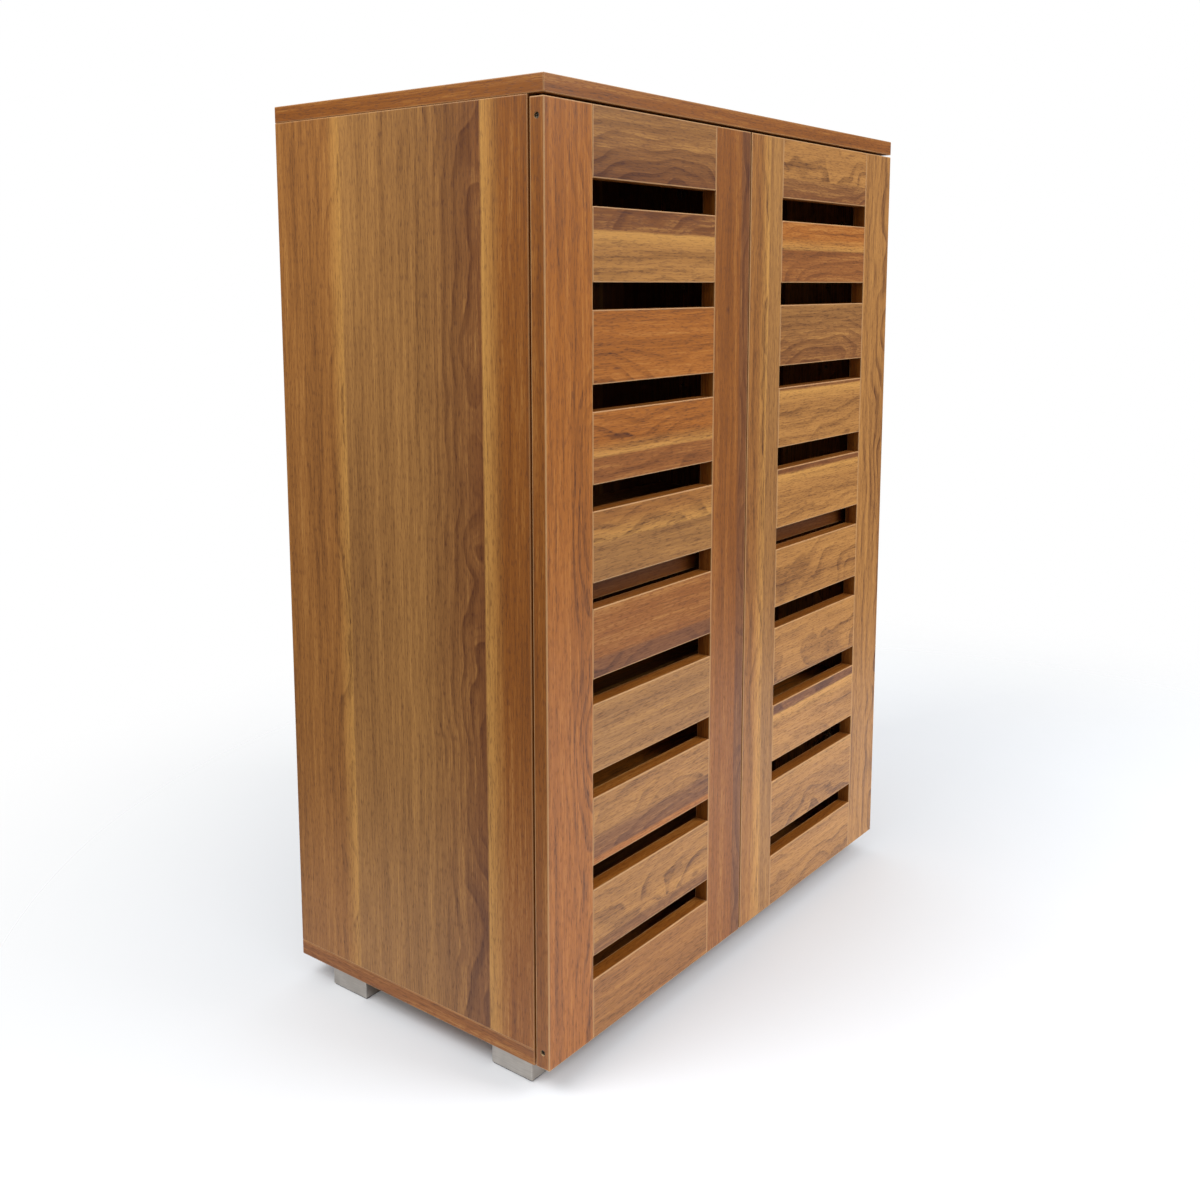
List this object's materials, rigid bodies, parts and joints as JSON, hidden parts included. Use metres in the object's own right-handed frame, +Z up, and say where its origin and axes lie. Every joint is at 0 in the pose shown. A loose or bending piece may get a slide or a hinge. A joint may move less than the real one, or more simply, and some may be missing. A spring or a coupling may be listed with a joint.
{
  "type": "shoe cabinet",
  "caption": "Free-standing shoe cabinet of walnut-look board on square metal feet, with a pair of slatted doors on concealed hinges and loose shelves inside.",
  "frame": {"origin": "on the floor under the middle of the cabinet", "axes": "+Z up; the doors face -Y; +X to the right as seen from the front"},
  "size_m": [0.63, 0.33, 0.87],
  "materials": {
    "walnut_board": "satin walnut-look foil, grain along each board",
    "back_board": "matt printed hardboard",
    "beech_dowel": "bare fluted beech",
    "brushed_metal": "brushed",
    "black_plastic": "matt",
    "zinc_steel": "zinc plated",
    "nickel_steel": "nickel plated"
  },
  "bodies": {
    "carcass": {"top_panel": "walnut_board", "bottom_panel": "walnut_board", "left_side_panel": "walnut_board", "right_side_panel": "walnut_board", "back_panel": "back_board", "middle_shelf": "walnut_board", "lower_shelf": "walnut_board", "upper_shelf": "walnut_board", "front_left_foot": "brushed_metal", "front_right_foot": "brushed_metal", "back_left_foot": "brushed_metal", "back_right_foot": "brushed_metal", "foot_pads": "black_plastic", "foot_screws": "zinc_steel", "carcass_dowels": "beech_dowel", "cam_bolts": "zinc_steel", "cam_discs": "zinc_steel", "confirmat_screws": "zinc_steel", "shelf_pins": "nickel_steel", "hinge_arms": "nickel_steel", "hinge_mounting_plates": "nickel_steel", "hinge_plate_screws": "nickel_steel", "hinge_arm_screws": "nickel_steel"},
    "left_outer_link_pair": {"left_outer_links": "nickel_steel"},
    "left_inner_link_pair": {"left_inner_links": "nickel_steel"},
    "left_door": {"left_door_outer_stile": "walnut_board", "left_door_inner_stile": "walnut_board", "left_door_rail_01": "walnut_board", "left_door_rail_02": "walnut_board", "left_door_rail_03": "walnut_board", "left_door_rail_04": "walnut_board", "left_door_rail_05": "walnut_board", "left_door_rail_06": "walnut_board", "left_door_rail_07": "walnut_board", "left_door_rail_08": "walnut_board", "left_door_rail_09": "walnut_board", "left_door_rail_10": "walnut_board", "left_door_dowels": "beech_dowel", "left_door_frame_screws": "zinc_steel", "left_hinge_cups": "nickel_steel", "left_cup_screws": "nickel_steel"},
    "right_outer_link_pair": {"right_outer_links": "nickel_steel"},
    "right_inner_link_pair": {"right_inner_links": "nickel_steel"},
    "right_door": {"right_door_outer_stile": "walnut_board", "right_door_inner_stile": "walnut_board", "right_door_rail_01": "walnut_board", "right_door_rail_02": "walnut_board", "right_door_rail_03": "walnut_board", "right_door_rail_04": "walnut_board", "right_door_rail_05": "walnut_board", "right_door_rail_06": "walnut_board", "right_door_rail_07": "walnut_board", "right_door_rail_08": "walnut_board", "right_door_rail_09": "walnut_board", "right_door_rail_10": "walnut_board", "right_door_dowels": "beech_dowel", "right_door_frame_screws": "zinc_steel", "right_hinge_cups": "nickel_steel", "right_cup_screws": "nickel_steel"}
  },
  "joints": [
    {"name": "left_outer_link_turn", "type": "hinge", "parent": "carcass", "child": "left_outer_link_pair", "pos_m": [-0.2868, -0.1487, 0.43875], "axis": [0, 0, -1], "range_deg": [-38.9, 0]},
    {"name": "left_door_swing", "type": "hinge", "parent": "left_outer_link_pair", "child": "left_door", "pos_m": [-0.30495, -0.1524, 0.43875], "axis": [0, 0, -1], "range_deg": [0, 143.85]},
    {"name": "left_inner_link_turn", "type": "hinge", "parent": "carcass", "child": "left_inner_link_pair", "pos_m": [-0.2824, -0.1574, 0.43875], "axis": [0, 0, -1], "range_deg": [-10.47, 0]},
    {"name": "right_outer_link_turn", "type": "hinge", "parent": "carcass", "child": "right_outer_link_pair", "pos_m": [0.2868, -0.1487, 0.43875], "axis": [0, 0, 1], "range_deg": [-38.9, 0]},
    {"name": "right_door_swing", "type": "hinge", "parent": "right_outer_link_pair", "child": "right_door", "pos_m": [0.30495, -0.1524, 0.43875], "axis": [0, 0, 1], "range_deg": [0, 143.85]},
    {"name": "right_inner_link_turn", "type": "hinge", "parent": "carcass", "child": "right_inner_link_pair", "pos_m": [0.2824, -0.1574, 0.43875], "axis": [0, 0, 1], "range_deg": [-10.47, 0]}
  ],
  "couplings": [
    {"joint": "left_outer_link_turn", "follows": "left_door_swing", "ratio": -0.27007},
    {"joint": "left_inner_link_turn", "follows": "left_door_swing", "ratio": -0.072446},
    {"joint": "right_outer_link_turn", "follows": "right_door_swing", "ratio": -0.27007},
    {"joint": "right_inner_link_turn", "follows": "right_door_swing", "ratio": -0.072446}
  ]
}
